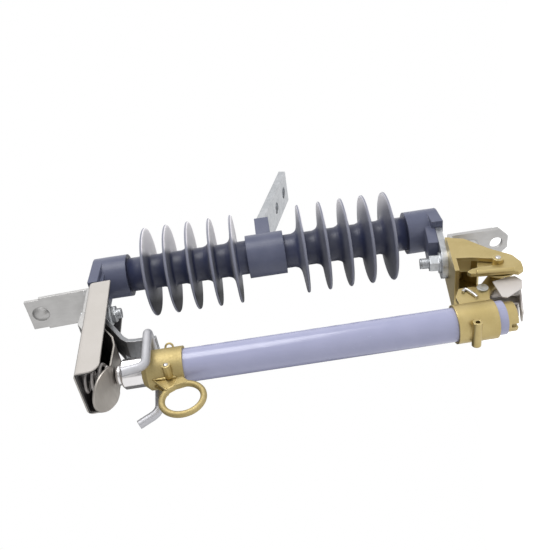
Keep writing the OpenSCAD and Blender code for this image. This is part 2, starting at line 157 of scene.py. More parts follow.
@dataclass(frozen=True)
class PhotoCamera:
    """The camera at the picture's viewing angle, given in the upright drawing."""

    azimuth: float = math.radians(34.5)
    yaw: float = 0.001229
    roll: float = -0.150143
    shift: Pair = (-8.7077, 20.6265)
    distance: float = 697.35
    focal: float = 650.0
    picture: float = 550.0

    def axes(self) -> tuple[Vector, Vector, Vector]:
        """Returns: The picture's right, up and towards directions in the upright drawing."""
        out = Vector((math.sin(self.azimuth), -math.cos(self.azimuth), 0))
        down = Vector((0, 0, -1))
        side = out.cross(down)
        back = out * math.cos(self.yaw) + down * math.sin(self.yaw)
        right = down * math.cos(self.yaw) - out * math.sin(self.yaw)
        across = right * math.cos(self.roll) + side * math.sin(self.roll)
        up = side * math.cos(self.roll) - right * math.sin(self.roll)
        return across, up, back

    def direction(self, right: float, up: float, towards: float) -> Vector:
        """Gives a direction seen in the picture.

        Args:
            right, up, towards: Its shares along the picture's axes.

        Returns:
            The unit direction in the shared frame.
        """
        a, b, c = self.axes()
        return (STANCE.turn().to_3x3() @ (a * right + b * up + c * towards)).normalized()

    def build(self) -> None:
        """Makes the camera and sets it as the scene's own."""
        across, up, back = self.axes()
        reach = self.distance / self.focal
        place = back * self.distance - across * self.shift[0] * reach - up * self.shift[1] * reach
        data = bpy.data.cameras.new("picture_camera")
        data.sensor_width = 36.0
        data.lens = data.sensor_width * self.focal / self.picture
        data.clip_start, data.clip_end = 0.01, 100.0
        camera = show("picture_camera", data)
        turn = Matrix((across, up, back)).transposed().to_4x4()
        camera.matrix_world = Matrix.Translation(UPRIGHT @ place) @ STANCE.turn() @ turn
        bpy.context.scene.camera = camera


CAMERA = PhotoCamera()


class Wiring:
    """Adds nodes to one node tree and joins them."""

    def __init__(self, tree: bpy.types.NodeTree) -> None:
        """Args: tree: The tree to work on."""
        self.tree = tree

    def feed(self, socket: bpy.types.NodeSocket, value: Any) -> None:
        """Links or sets an input. Args: socket: The input. value: An output to link, or a value."""
        if isinstance(value, bpy.types.NodeSocket):
            self.tree.links.new(value, socket)
        else:
            socket.default_value = value

    def add(self, kind: str, sockets: dict[str | int, Any] | None = None, **settings: Any) -> bpy.types.Node:
        """Adds a node.

        Args:
            kind: The node's type.
            sockets: Inputs by name or index, each with a value or an output to link.
            settings: The node's own settings.

        Returns:
            The node.
        """
        node = self.tree.nodes.new(kind)
        for name, value in settings.items():
            setattr(node, name, value)
        for key, value in (sockets or {}).items():
            self.feed(node.inputs[key], value)
        return node

    def math(self, operation: str, *values: Any) -> bpy.types.NodeSocket:
        """Adds a sum. Args: operation: Its kind. values: Its inputs. Returns: The output."""
        return self.add("ShaderNodeMath", dict(enumerate(values)), operation=operation).outputs[0]

    def mix(self, amount: Any, first: Any, second: Any) -> bpy.types.NodeSocket:
        """Mixes colours. Args: amount: The share of second. first, second: The colours. Returns: The output."""
        pair = [(*c, 1.0) if isinstance(c, tuple) else c for c in (first, second)]
        node = self.add("ShaderNodeMix", {0: amount, 6: pair[0], 7: pair[1]}, data_type="RGBA")
        return node.outputs[2]

    def vector(self, operation: str, *values: Any) -> bpy.types.NodeSocket:
        """Adds a vector sum. Args: operation: Its kind. values: Its inputs. Returns: The output."""
        return self.add("ShaderNodeVectorMath", dict(enumerate(values)), operation=operation).outputs[0]

    def dot(self, first: Any, second: Any) -> bpy.types.NodeSocket:
        """Adds a dot product. Args: first, second: The vectors. Returns: The output."""
        return self.add("ShaderNodeVectorMath", {0: first, 1: second}, operation="DOT_PRODUCT").outputs["Value"]

    def scaled(self, vector: Any, factor: Any) -> bpy.types.NodeSocket:
        """Scales a vector. Args: vector: The vector. factor: The factor. Returns: The output."""
        return self.add("ShaderNodeVectorMath", {0: vector, "Scale": factor}, operation="SCALE").outputs[0]

    def ramp(self, value: Any, low: Any, high: Any) -> bpy.types.NodeSocket:
        """Stretches a range to 0 to 1. Args: value: The input. low, high: The range. Returns: The output."""
        node = self.add("ShaderNodeMapRange", {0: value, 1: low, 2: high}, interpolation_type="SMOOTHSTEP")
        return node.outputs[0]


class Effect(Enum):
    """Surface effects that several finishes share, each one a shader node group."""

    soft_edges = "soft_edges"
    grain = "grain"
    dust = "dust"
    spangle = "spangle"
    flanks = "flanks"


@dataclass
class EffectShelf:
    """Builds each shared effect once and hands it out.

    A range is what a mask stretches to 0 to 1. The bands of painted light and painted shade on the sheds are in
    shares of the trunk's radius, and the width and fade of the painted highlight along the rims are in metres.
    """

    edge_range: Pair = (0.01, 0.22)
    grain_range: Pair = (0.3, 0.7)
    dust_range: Pair = (0.42, 0.75)
    dust_lying: Pair = (0.35, 0.5)
    warp_scale: float = 200.0
    warp_pull: float = 0.004
    facing_range: Pair = (0.3, 0.8)
    chalk_band: Pair = (0.8, 1.25)
    top_start: float = 1.3
    top_share: float = 0.6
    dark_end: float = 1.9
    rim_width: float = 0.0034
    rim_fade: float = 0.0018
    made: dict[Effect, bpy.types.NodeTree] = field(default_factory=dict)

    def get(self, effect: Effect) -> bpy.types.NodeTree:
        """Args: effect: The effect wanted. Returns: Its node group."""
        if effect not in self.made:
            self.made[effect] = getattr(self, effect.value)()
        return self.made[effect]

    def lay(self, w: Wiring, effect: Effect, values: dict[str, Any] | None = None) -> Any:
        """Puts an effect into a material.

        Args:
            w: The material's wiring.
            effect: The effect.
            values: Its inputs by name.

        Returns:
            The effect's outputs.
        """
        return w.add("ShaderNodeGroup", values, node_tree=self.get(effect)).outputs

    def start(self, effect: Effect, inputs: dict[str, float], outputs: dict[str, str]) -> tuple[Wiring, Any, Any]:
        """Opens a node group.

        Args:
            effect: The effect.
            inputs: Named number inputs with their first values.
            outputs: Named outputs with their socket types.

        Returns:
            The wiring, the group's input node and its output node.
        """
        tree = bpy.data.node_groups.new(effect.value, "ShaderNodeTree")
        for name, value in inputs.items():
            tree.interface.new_socket(name, in_out="INPUT", socket_type="NodeSocketFloat").default_value = value
        for name, kind in outputs.items():
            tree.interface.new_socket(name, in_out="OUTPUT", socket_type=kind)
        w = Wiring(tree)
        return w, w.add("NodeGroupInput"), w.add("NodeGroupOutput")

    def soft_edges(self) -> bpy.types.NodeTree:
        """Returns: The group that rounds sharp edges in the shading and finds them."""
        kinds = {"Normal": "NodeSocketVector", "Edge": "NodeSocketFloat"}
        w, given, out = self.start(Effect.soft_edges, {"Radius": 0.001}, kinds)
        bevel = w.add("ShaderNodeBevel", {"Radius": given.outputs["Radius"]}, samples=6).outputs[0]
        alike = w.dot(bevel, w.add("ShaderNodeNewGeometry").outputs["Normal"])
        w.feed(out.inputs["Normal"], bevel)
        w.feed(out.inputs["Edge"], w.ramp(w.math("SUBTRACT", 1.0, alike), *self.edge_range))
        return w.tree

    def grain(self) -> bpy.types.NodeTree:
        """Returns: The group of cloudy variation, drawn out along an axis where asked."""
        names = {"Scale": 100.0, "Stretch X": 1.0, "Stretch Y": 1.0, "Stretch Z": 1.0, "Detail": 3.0}
        w, given, out = self.start(Effect.grain, names, {"Value": "NodeSocketFloat"})
        place = w.add("ShaderNodeTexCoord").outputs["Object"]
        draw = w.add("ShaderNodeCombineXYZ", {i: given.outputs["Stretch " + a] for i, a in enumerate("XYZ")})
        drawn = w.vector("MULTIPLY", place, draw.outputs[0])
        sockets = {"Vector": drawn, "Scale": given.outputs["Scale"], "Detail": given.outputs["Detail"]}
        noise = w.add("ShaderNodeTexNoise", sockets)
        w.feed(out.inputs["Value"], w.ramp(noise.outputs[0], *self.grain_range))
        return w.tree

    def dust(self) -> bpy.types.NodeTree:
        """Returns: The group of faint dust that lies on faces turned up."""
        w, given, out = self.start(Effect.dust, {"Amount": 0.2, "Scale": 40.0}, {"Mask": "NodeSocketFloat"})
        place = w.add("ShaderNodeTexCoord").outputs["Object"]
        noise = w.add("ShaderNodeTexNoise", {"Vector": place, "Scale": given.outputs["Scale"], "Detail": 6.0})
        up = w.add("ShaderNodeSeparateXYZ", {0: w.add("ShaderNodeNewGeometry").outputs["Normal"]}).outputs[2]
        lying = w.math("MULTIPLY_ADD", up, *self.dust_lying)
        mask = w.math("MULTIPLY", w.ramp(noise.outputs[0], *self.dust_range), lying)
        w.feed(out.inputs["Mask"], w.math("MULTIPLY", mask, given.outputs["Amount"]))
        return w.tree

    def spangle(self) -> bpy.types.NodeTree:
        """Returns: The group of crystal patches in a zinc coat."""
        w, given, out = self.start(Effect.spangle, {"Scale": 300.0}, {"Tone": "NodeSocketFloat"})
        place = w.add("ShaderNodeTexCoord").outputs["Object"]
        warp = w.add("ShaderNodeTexNoise", {"Vector": place, "Scale": self.warp_scale, "Detail": 2.0})
        moved = w.vector("ADD", place, w.scaled(warp.outputs["Color"], self.warp_pull))
        cells = w.add("ShaderNodeTexVoronoi", {"Vector": moved, "Scale": given.outputs["Scale"]})
        tone = w.add("ShaderNodeSeparateColor", {0: cells.outputs["Color"]}).outputs[0]
        w.feed(out.inputs["Tone"], tone)
        return w.tree

    def flanks(self) -> bpy.types.NodeTree:
        """Returns: The group of painted light on one flank of the sheds, painted shade on the undersides of the other
        flank and a painted highlight along the rims.
        """
        kinds = {name: "NodeSocketFloat" for name in ("Chalk", "Dark", "Rim")}
        w, given, out = self.start(Effect.flanks, {"Trunk": 0.018, "Reach": 0.0475}, kinds)
        trunk, reach = given.outputs["Trunk"], given.outputs["Reach"]
        axis = STANCE.turn().to_3x3() @ Vector((0, 0, 1))
        flank = CAMERA.direction(math.sin(CAMERA.roll), math.cos(CAMERA.roll), 0.0)
        place = w.add("ShaderNodeTexCoord").outputs["Object"]
        spot = w.vector("SUBTRACT", place, UPRIGHT.translation)
        side = w.dot(spot, flank)
        along = w.scaled(axis, w.dot(spot, axis))
        out_from = w.add("ShaderNodeVectorMath", {0: w.vector("SUBTRACT", spot, along)}, operation="LENGTH")
        facing = w.dot(w.add("ShaderNodeNewGeometry").outputs["Normal"], axis)
        slight, full = self.facing_range
        under = w.ramp(facing, -slight, -full)
        # Painted light: the undersides, and less so the outer upper faces, on one flank of the sheds are lightened as
        # if lit there.
        outer = w.ramp(side, w.math("MULTIPLY", trunk, self.top_start), reach)
        over = w.math("MULTIPLY", w.ramp(facing, slight, full), outer)
        start = w.ramp(side, *(w.math("MULTIPLY", trunk, share) for share in self.chalk_band))
        w.feed(out.inputs["Chalk"], w.math("MULTIPLY", w.math("MULTIPLY_ADD", over, self.top_share, under), start))
        # Painted shade: the undersides on the other flank are darkened where the trunk shades them.
        low = w.ramp(w.math("MULTIPLY", side, -1.0), trunk, w.math("MULTIPLY", trunk, self.dark_end))
        w.feed(out.inputs["Dark"], w.math("MULTIPLY", under, low))
        # Painted highlight: a thin band along the rims, all the way round.
        edge = w.math("SUBTRACT", reach, self.rim_width)
        w.feed(out.inputs["Rim"], w.ramp(out_from.outputs["Value"], edge, w.math("ADD", edge, self.rim_fade)))
        return w.tree


SHELF = EffectShelf()


@dataclass(frozen=True)
class Finish:
    """A finish: a base colour with patches, grain, worn edges and dust; on some finishes the edge colour is also a
    painted highlight.

    The grain's scale is in waves per metre, and its bump depth and edge radius are in metres.
    """

    name: str
    colour: Colour
    patch: Colour
    edge: Colour
    metallic: float = 0.0
    rough: Pair = (0.3, 0.45)
    grain_scale: float = 900.0
    stretch: Point = (1.0, 1.0, 1.0)
    bump: float = 0.00004
    patch_scale: float = 60.0
    patch_share: float = 0.5
    edge_radius: float = 0.0009
    edge_share: float = 0.35
    dust_share: float = 0.15
    coat: float = 0.0
    coat_rough: float = 0.15
    specular: float = 0.5
    sheen: float = 0.0
    spangle_scale: float = 0.0
    spangle_share: float = 0.6
    bump_strength: float = 0.6
    dust: Colour = linear(176, 172, 164)
    dust_rough: float = 0.4

    def base(self, w: Wiring) -> Any:
        """Args: w: The material's wiring. Returns: The colour before wear and dust."""
        tone = SHELF.lay(w, Effect.grain, {"Scale": self.patch_scale})["Value"]
        if self.spangle_scale:
            cells = SHELF.lay(w, Effect.spangle, {"Scale": self.spangle_scale})["Tone"]
            rest = w.math("MULTIPLY", tone, 1 - self.spangle_share)
            tone = w.math("MULTIPLY_ADD", cells, self.spangle_share, rest)
        return w.mix(w.math("MULTIPLY", tone, self.patch_share), self.colour, self.patch)

    def gloss(self, w: Wiring) -> Any:
        """Args: w: The material's wiring. Returns: The specular level."""
        return self.specular

    def nap(self, w: Wiring) -> Any:
        """Args: w: The material's wiring. Returns: The sheen."""
        return self.sheen

    def build(self) -> bpy.types.Material:
        """Returns: The material."""
        mat = bpy.data.materials.new(self.name)
        mat.use_nodes = True
        w = Wiring(mat.node_tree)
        edges = SHELF.lay(w, Effect.soft_edges, {"Radius": self.edge_radius})
        stretch = {"Stretch " + axis: value for axis, value in zip("XYZ", self.stretch)}
        grain = SHELF.lay(w, Effect.grain, {"Scale": self.grain_scale, **stretch})["Value"]
        dust = SHELF.lay(w, Effect.dust, {"Amount": self.dust_share})["Mask"]
        worn = w.mix(w.math("MULTIPLY", edges["Edge"], self.edge_share), self.base(w), self.edge)
        low, high = self.rough
        rough = w.math("MULTIPLY_ADD", grain, high - low, low)
        relief = {"Strength": self.bump_strength, "Distance": self.bump, "Height": grain, "Normal": edges["Normal"]}
        shader = mat.node_tree.nodes["Principled BSDF"]
        for name, value in {
            "Base Color": w.mix(dust, worn, self.dust),
            "Metallic": self.metallic,
            "Roughness": w.math("MULTIPLY_ADD", dust, self.dust_rough, rough),
            "Specular IOR Level": self.gloss(w),
            "Sheen Weight": self.nap(w),
            "Coat Weight": self.coat,
            "Coat Roughness": self.coat_rough,
            "Normal": w.add("ShaderNodeBump", relief).outputs[0],
        }.items():
            w.feed(shader.inputs[name], value)
        return mat


@dataclass(frozen=True)
class HoodFinish(Finish):
    """Pale paint outside the hood, and painted shade within its channel, placed by where a point lies in the channel,
    in metres.
    """

    inside: Colour = linear(26, 23, 24)
    half_width: float = 0.02275
    web: float = 0.0012

    def base(self, w: Wiring) -> Any:
        """Args: w: The material's wiring. Returns: Pale colour outside and painted shade within the channel."""
        pale = super().base(w)
        back = UPPER_SEAT.inverted()
        sockets = {
            "Vector": w.add("ShaderNodeTexCoord").outputs["Object"],
            "Location": [c * MILLIMETRE for c in back.translation],
            "Rotation": back.to_euler(),
        }
        seat = w.add("ShaderNodeMapping", sockets, vector_type="POINT")
        part = w.add("ShaderNodeSeparateXYZ", {0: seat.outputs[0]})
        # Painted shade: points between the side walls and below the web's face are darkened.
        side = w.math("LESS_THAN", w.math("ABSOLUTE", part.outputs[0]), self.half_width)
        under = w.math("LESS_THAN", part.outputs[2], self.web)
        return w.mix(w.math("MULTIPLY", side, under), pale, self.inside)


@dataclass(frozen=True)
class ShedFinish(Finish):
    """Navy silicone with a painted highlight along the rims, painted light on one flank of the sheds and painted
    shade, with less gloss and sheen, on the undersides of the other flank.
    """

    # Colours and shares of the painted flank light, the painted shade and the painted rim highlight, and how much
    # gloss the painted shade takes away.
    chalk: Colour = linear(240, 237, 241)
    chalk_share: float = 0.92
    shade: Colour = linear(20, 20, 24)
    shade_share: float = 0.85
    rim_share: float = 0.75
    dull_share: float = 0.9

    def base(self, w: Wiring) -> Any:
        """Args: w: The material's wiring. Returns: Navy with the painted rim highlight, the painted flank light and
        the painted shade laid on.
        """
        parts = SHELF.lay(w, Effect.flanks)
        colour = super().base(w)
        # Lays on the painted rim highlight, the painted flank light and the painted shade.
        for name, share, over in (
            ("Rim", self.rim_share, self.edge),
            ("Chalk", self.chalk_share, self.chalk),
            ("Dark", self.shade_share, self.shade),
        ):
            colour = w.mix(w.math("MULTIPLY", parts[name], share), colour, over)
        return colour

    def gloss(self, w: Wiring) -> Any:
        """Args: w: The material's wiring. Returns: The specular level, lower where shade is painted on the
        undersides.
        """
        dark = SHELF.lay(w, Effect.flanks)["Dark"]
        return w.math("MULTIPLY_ADD", dark, -self.dull_share * self.specular, self.specular)

    def nap(self, w: Wiring) -> Any:
        """Args: w: The material's wiring. Returns: The sheen, none where shade is painted in full on the undersides.
        """
        return w.math("MULTIPLY_ADD", SHELF.lay(w, Effect.flanks)["Dark"], -self.sheen, self.sheen)


class Coat(Enum):
    """The finishes of the cutout's pieces."""

    # The edge colour serves both as wear on sharp edges and as the painted highlight along the rims.
    silicone = ShedFinish(
        "silicone", linear(42, 48, 76), linear(37, 42, 68), linear(122, 124, 138), rough=(0.34, 0.44), specular=0.5,
        grain_scale=1500.0, bump=0.00003, patch_share=0.5, edge_share=0.25, dust_share=0.12, sheen=0.1,
    )
    paint = Finish(
        "paint", linear(84, 88, 108), linear(76, 80, 100), linear(116, 119, 136), rough=(0.28, 0.38),
        grain_scale=700.0, bump=0.00008, edge_radius=0.0014, edge_share=0.3, dust_share=0.08, specular=0.3,
    )
    zinc = Finish(
        "zinc", linear(196, 198, 201), linear(158, 162, 166), linear(222, 223, 224), metallic=1.0,
        rough=(0.3, 0.48), grain_scale=500.0, bump=0.00004, spangle_scale=260.0, patch_share=0.7, dust_share=0.1,
    )
    drawn = Finish(
        "drawn", linear(190, 190, 194), linear(170, 171, 175), linear(200, 200, 203), metallic=1.0,
        rough=(0.46, 0.56), grain_scale=500.0, bump=0.00002, edge_radius=0.0006, edge_share=0.1, dust_share=0.04,
    )
    # Zinc darkened as painted shade, with a painted highlight along its edges, for the hook strap and its wing.
    dull = Finish(
        "dull", linear(138, 139, 142), linear(112, 114, 117), linear(226, 226, 227), metallic=1.0, rough=(0.42, 0.55),
        grain_scale=500.0, bump=0.00004, edge_radius=0.0016, edge_share=0.8, dust_share=0.05,
    )
    # Cream paint outside the hood, with painted shade within its channel.
    cream = HoodFinish(
        "cream", linear(176, 171, 166), linear(170, 165, 159), linear(188, 184, 180), rough=(0.3, 0.4),
        grain_scale=600.0, bump=0.00005, edge_radius=0.0012, dust_share=0.06,
    )
    tin = Finish(
        "tin", linear(190, 189, 188), linear(174, 173, 172), linear(212, 212, 212), metallic=1.0,
        rough=(0.36, 0.5), grain_scale=700.0, stretch=(1.0, 0.15, 0.15), bump=0.00003, dust_share=0.08,
    )
    worn = Finish(
        "worn", linear(168, 163, 157), linear(150, 145, 139), linear(200, 197, 192), metallic=1.0,
        rough=(0.36, 0.5), grain_scale=500.0, stretch=(0.2, 1.0, 1.0), bump=0.00003, dust_share=0.08,
    )
    pressed = Finish(
        "pressed", linear(196, 191, 188), linear(184, 179, 176), linear(230, 227, 224), metallic=0.25,
        rough=(0.4, 0.5), grain_scale=500.0, bump=0.00003, edge_radius=0.0007, edge_share=0.5, dust_share=0.06,
    )
    polish = Finish(
        "polish", linear(238, 236, 236), linear(230, 227, 228), linear(246, 245, 244), metallic=1.0,
        rough=(0.2, 0.26), grain_scale=900.0, stretch=(1.0, 0.3, 0.3), bump=0.000004, dust_share=0.02,
    )
    brass = Finish(
        "brass", linear(192, 174, 124), linear(172, 153, 100), linear(222, 208, 162), metallic=1.0,
        rough=(0.34, 0.5), grain_scale=800.0, bump=0.00005, edge_radius=0.0011, edge_share=0.5, dust_share=0.04,
    )
    # A darker, rougher copy of brass for the upper casting.
    aged = Finish(
        "aged", linear(182, 166, 120), linear(160, 144, 98), linear(218, 204, 158), metallic=1.0,
        rough=(0.54, 0.68), grain_scale=800.0, bump=0.00006, edge_radius=0.0011, edge_share=0.5, dust_share=0.04,
    )
    tube = Finish(
        "tube", linear(150, 152, 180), linear(143, 146, 174), linear(172, 174, 198), rough=(0.2, 0.27),
        grain_scale=260.0, stretch=(1.0, 1.0, 0.12), bump=0.00002, patch_share=0.5, dust_share=0.04, coat=0.25,
    )
    spring = Finish(
        "spring", linear(196, 194, 192), linear(160, 158, 156), linear(220, 220, 220), metallic=1.0,
        rough=(0.24, 0.36), grain_scale=900.0, bump=0.00002, edge_radius=0.0003, dust_share=0.04,
    )


@dataclass
class Paints:
    """Builds each finish once."""

    made: dict[Coat, bpy.types.Material] = field(default_factory=dict)

    def get(self, coat: Coat) -> bpy.types.Material:
        """Args: coat: The finish wanted. Returns: Its material."""
        if coat not in self.made:
            self.made[coat] = coat.value.build()
        return self.made[coat]

    def dress(self, node: str, coat: Coat) -> None:
        """Puts a finish on a solid of the frame. Args: node: The solid. coat: Its finish."""
        data = frame["nodes"][node].data
        data.materials.clear()
        data.materials.append(self.get(coat))


PAINTS = Paints()


class Maker(Enum):
    """The node trees that make repeated and swept shapes."""

    lathe = "lathe"
    coil = "coil"
    sweep = "sweep"
    studs = "studs"


@dataclass
class Workshop:
    """Builds the geometry node trees once and turns their results into plain pieces.

    Points of a turned shape that are nearer than weld, in millimetres, become one.
    """

    weld: float = 0.0001
    made: dict[Maker, bpy.types.NodeTree] = field(default_factory=dict)

    def start(self, maker: Maker, inputs: dict[str, str]) -> tuple[Wiring, Any, Any]:
        """Opens a geometry tree.

        Args:
            maker: The tree.
            inputs: Named inputs with their socket types, besides the geometry and the material.

        Returns:
            The wiring, the group's input node and its output node.
        """
        tree = bpy.data.node_groups.new(maker.value, "GeometryNodeTree")
        ends = {"Geometry": "NodeSocketGeometry", "Material": "NodeSocketMaterial"}
        for name, kind in {**ends, **inputs}.items():
            tree.interface.new_socket(name, in_out="INPUT", socket_type=kind)
        tree.interface.new_socket("Geometry", in_out="OUTPUT", socket_type="NodeSocketGeometry")
        w = Wiring(tree)
        return w, w.add("NodeGroupInput"), w.add("NodeGroupOutput")

    def close(self, w: Wiring, given: Any, out: Any, shape: bpy.types.NodeSocket) -> bpy.types.NodeTree:
        """Ends a tree with smooth shading, real instances and its material.

        Args:
            w, given, out: The tree's wiring and end nodes.
            shape: The geometry made.

        Returns:
            The tree.
        """
        real = w.add("GeometryNodeRealizeInstances", {0: shape})
        soft = w.add("GeometryNodeSetShadeSmooth", {"Geometry": real.outputs[0]})
        sockets = {"Geometry": soft.outputs[0], "Material": given.outputs["Material"]}
        dressed = w.add("GeometryNodeSetMaterial", sockets)
        w.feed(out.inputs[0], dressed.outputs[0])
        return w.tree

    def lathe(self) -> bpy.types.NodeTree:
        """Returns: The tree that turns an outline, given as a row of points, about Z."""
        w, given, out = self.start(Maker.lathe, {"Segments": "NodeSocketInt", "Rows": "NodeSocketInt"})
        around = w.math("ADD", given.outputs["Segments"], 1.0)
        grid = w.add("GeometryNodeMeshGrid", {0: 1.0, 1: 1.0, 2: around, 3: given.outputs["Rows"]})
        place = w.add("ShaderNodeSeparateXYZ", {0: w.add("GeometryNodeInputPosition").outputs[0]})
        angle = w.math("MULTIPLY", place.outputs[0], 2 * math.pi)
        last = w.math("SUBTRACT", given.outputs["Rows"], 1.0)
        row = w.math("ROUND", w.math("MULTIPLY", w.math("ADD", place.outputs[1], 0.5), last))
        spot = w.add("GeometryNodeInputPosition").outputs[0]
        outline = w.add("GeometryNodeSampleIndex", data_type="FLOAT_VECTOR", domain="POINT")
        w.feed(outline.inputs["Geometry"], given.outputs["Geometry"])
        w.feed(next(s for s in outline.inputs if s.name == "Value" and s.enabled), spot)
        w.feed(outline.inputs["Index"], row)
        found = next(s for s in outline.outputs if s.enabled)
        edge = w.add("ShaderNodeSeparateXYZ", {0: found})
        turned = w.add("ShaderNodeCombineXYZ")
        w.feed(turned.inputs[0], w.math("MULTIPLY", edge.outputs[0], w.math("COSINE", angle)))
        w.feed(turned.inputs[1], w.math("MULTIPLY", edge.outputs[0], w.math("SINE", angle)))
        w.feed(turned.inputs[2], edge.outputs[2])
        shape = w.add("GeometryNodeSetPosition", {"Geometry": grid.outputs[0], "Position": turned.outputs[0]})
        closed = w.add("GeometryNodeMergeByDistance", {"Geometry": shape.outputs[0], "Distance": self.weld})
        return self.close(w, given, out, closed.outputs[0])

    def wire(self, w: Wiring, given: Any, line: bpy.types.NodeSocket) -> bpy.types.NodeSocket:
        """Draws a round wire along a line.

        Args:
            w, given: The tree's wiring and its input node, which gives the wire's radius and sides.
            line: The curve of the wire's middle.

        Returns:
            The wire's mesh.
        """
        sockets = {"Resolution": given.outputs["Sides"], "Radius": given.outputs["Wire"]}
        ring = w.add("GeometryNodeCurvePrimitiveCircle", sockets)
        sockets = {"Curve": line, "Profile Curve": ring.outputs[0], "Fill Caps": True}
        return w.add("GeometryNodeCurveToMesh", sockets).outputs[0]

    def coil(self) -> bpy.types.NodeTree:
        """Returns: The tree that winds a wire about Z, for springs and screw threads."""
        kinds = {n: "NodeSocketFloat" for n in ("Turns", "Start Radius", "End Radius", "Height", "Wire")}
        kinds |= {"Sides": "NodeSocketInt", "Steps": "NodeSocketInt"}
        w, given, out = self.start(Maker.coil, kinds)
        sockets = {name: given.outputs[name] for name in ("Start Radius", "End Radius", "Height")}
        sockets |= {"Resolution": given.outputs["Steps"], "Rotations": given.outputs["Turns"]}
        wind = w.add("GeometryNodeCurveSpiral", sockets)
        return self.close(w, given, out, self.wire(w, given, wind.outputs[0]))

    def sweep(self) -> bpy.types.NodeTree:
        """Returns: The tree that draws a round wire along a row of joined points."""
        w, given, out = self.start(Maker.sweep, {"Wire": "NodeSocketFloat", "Sides": "NodeSocketInt"})
        path = w.add("GeometryNodeMeshToCurve", {0: given.outputs["Geometry"]})
        return self.close(w, given, out, self.wire(w, given, path.outputs[0]))

    def studs(self) -> bpy.types.NodeTree:
        """Returns: The tree that sets a domed head on each of a set of points."""
        kinds = {"Radius": "NodeSocketFloat", "Rise": "NodeSocketFloat", "Turn": "NodeSocketVector"}
        w, given, out = self.start(Maker.studs, kinds)
        ball = w.add("GeometryNodeMeshUVSphere", {"Segments": 24, "Rings": 14, "Radius": 1.0})
        sizes = (given.outputs[name] for name in ("Radius", "Radius", "Rise"))
        size = w.add("ShaderNodeCombineXYZ", dict(enumerate(sizes)))
        turn = w.add("FunctionNodeEulerToRotation", {0: given.outputs["Turn"]})
        heads = w.add("GeometryNodeInstanceOnPoints", {
            "Points": given.outputs["Geometry"], "Instance": ball.outputs[0], "Rotation": turn.outputs[0],
            "Scale": size.outputs[0],
        })
        return self.close(w, given, out, heads.outputs[0])

    def make(
        self, name: str, maker: Maker, points: Sequence[Point], coat: Coat, place: Matrix, **values: Any
    ) -> bpy.types.Object:
        """Runs a tree on a row of points and keeps the result as a plain mesh in place.

        Args:
            name: The piece's name.
            maker: The tree.
            points: Points that the tree starts from, joined in order.
            coat: The finish.
            place: The map to the shared frame.
            values: The tree's inputs by name, with _ for a space.

        Returns:
            The piece.
        """
        if maker not in self.made:
            self.made[maker] = getattr(self, maker.value)()
        tree = self.made[maker]
        start = bpy.data.meshes.new(name + "_start")
        start.from_pydata([tuple(p) for p in points], [(i, i + 1) for i in range(len(points) - 1)], [])
        work = show(name + "_work", start)
        modifier = work.modifiers.new("tree", "NODES")
        modifier.node_group = tree
        values["Material"] = PAINTS.get(coat)
        for item in tree.interface.items_tree:
            key = item.name.replace(" ", "_")
            if item.in_out == "INPUT" and key in values:
                modifier[item.identifier] = values[key]
        graph = bpy.context.evaluated_depsgraph_get()
        mesh = bpy.data.meshes.new_from_object(work.evaluated_get(graph))
        bpy.data.objects.remove(work)
        bpy.data.meshes.remove(start)
        return self.keep(name, mesh, coat, place)

    def plate(
        self, name: str, outline: Sequence[Pair], sides: Pair, coat: Coat, place: Matrix
    ) -> bpy.types.Object:
        """Cuts a flat plate that stands across X.

        Args:
            name: The piece's name.
            outline: Its corners in Y and Z, in order.
            sides: Where its two faces stand in X.
            coat: The finish.
            place: The map to the shared frame.

        Returns:
            The piece.
        """
        count = len(outline)
        corners = [(x, y, z) for x in sides for y, z in outline]
        walls = [(i, (i + 1) % count, count + (i + 1) % count, count + i) for i in range(count)]
        mesh = bpy.data.meshes.new(name)
        mesh.from_pydata(corners, [], [tuple(range(count)), tuple(range(count, 2 * count)), *walls])
        return self.keep(name, mesh, coat, place)

    def keep(self, name: str, mesh: bpy.types.Mesh, coat: Coat, place: Matrix) -> bpy.types.Object:
        """Puts a mesh in place as a piece.

        Args:
            name: The piece's name.
            mesh: Its mesh.
            coat: Its finish.
            place: The map to the shared frame.

        Returns:
            The piece.
        """
        mesh.transform(place)
        shell = bmesh.new()
        shell.from_mesh(mesh)
        bmesh.ops.recalc_face_normals(shell, faces=shell.faces)
        shell.to_mesh(mesh)
        shell.free()
        mesh.materials.clear()
        mesh.materials.append(PAINTS.get(coat))
        mesh.name = name
        LOG.info("%s: %d faces", name, len(mesh.polygons))
        return show(name, mesh)


WORKS = Workshop()


